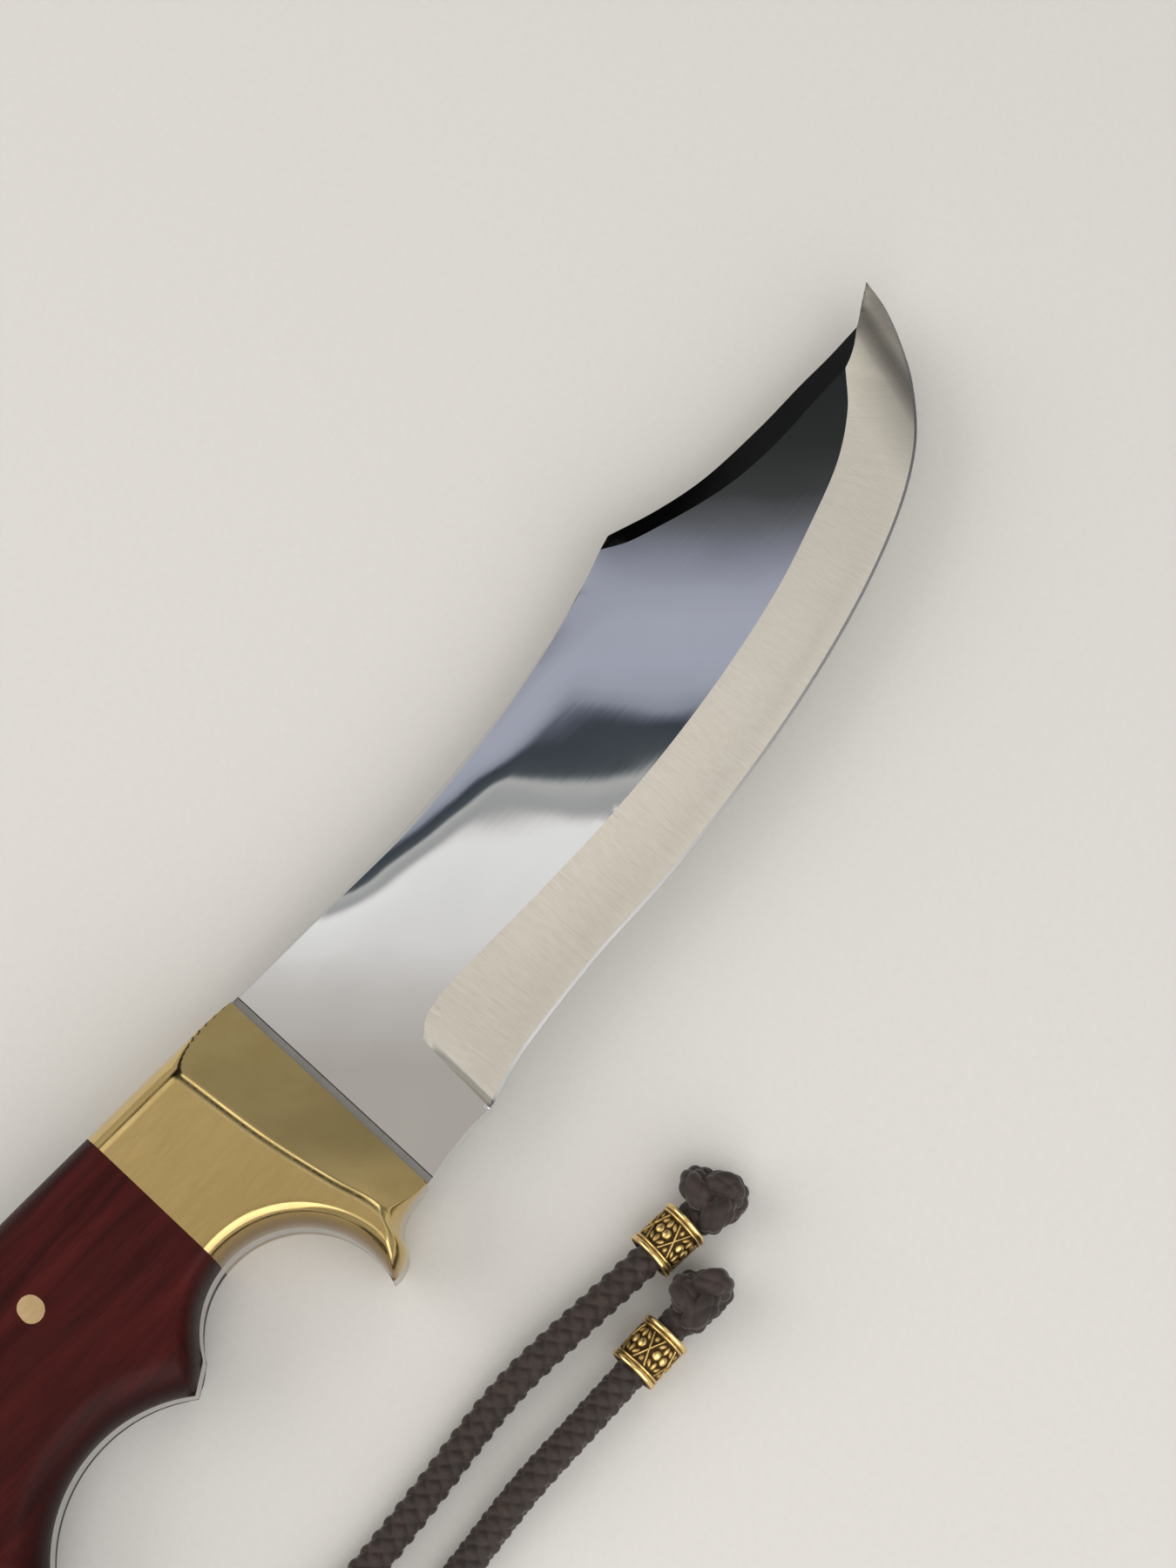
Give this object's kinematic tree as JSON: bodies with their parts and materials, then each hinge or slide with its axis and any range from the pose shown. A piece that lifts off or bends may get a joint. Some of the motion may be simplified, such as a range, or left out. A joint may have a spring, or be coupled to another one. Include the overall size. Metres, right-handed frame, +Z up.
{
  "type": "fixed-blade hunting knife",
  "caption": "Fixed-blade knife with an upswept clipped blade, full tang, brass bolsters, grooved wooden scales and a braided lanyard with sliding beads.",
  "frame": {"origin": "middle of the knife's own box, without the lanyard, on the plane that it lies on", "axes": "+X along the knife to the tip, +Y towards the spine, +Z up out of the left side of the handle, as the knife lies on its right side"},
  "size_m": [0.2954, 0.0945, 0.0201],
  "materials": {
    "steel": "mirror-polished flats with a satin ground band along the edge",
    "brass": "polished",
    "pin_brass": "sanded flush, satin",
    "bead_brass": "antiqued, dark recesses and rubbed high spots",
    "wood": "satin oil finish, deep red-brown",
    "cord": "round braid, dark brown"
  },
  "bodies": {
    "root": {"blade": "steel", "bolster_left": "brass", "bolster_right": "brass", "bolster_pin_front": "brass", "bolster_pin_rear": "brass", "scale_left": "wood", "scale_right": "wood", "handle_pin_front": "pin_brass", "handle_pin_rear": "pin_brass", "lanyard_cord_upper": "cord", "lanyard_cord_lower": "cord", "knot_upper": "cord", "knot_lower": "cord"},
    "bead_upper": {"bead_upper": "bead_brass"},
    "bead_lower": {"bead_lower": "bead_brass"}
  },
  "joints": [
    {"name": "bead_upper_slide", "type": "slide", "parent": "root", "child": "bead_upper", "axis": [-1, 0.0094, 0], "range_m": [0, 0.02]},
    {"name": "bead_lower_slide", "type": "slide", "parent": "root", "child": "bead_lower", "axis": [-0.996, 0.0895, 0], "range_m": [0, 0.02]}
  ]
}
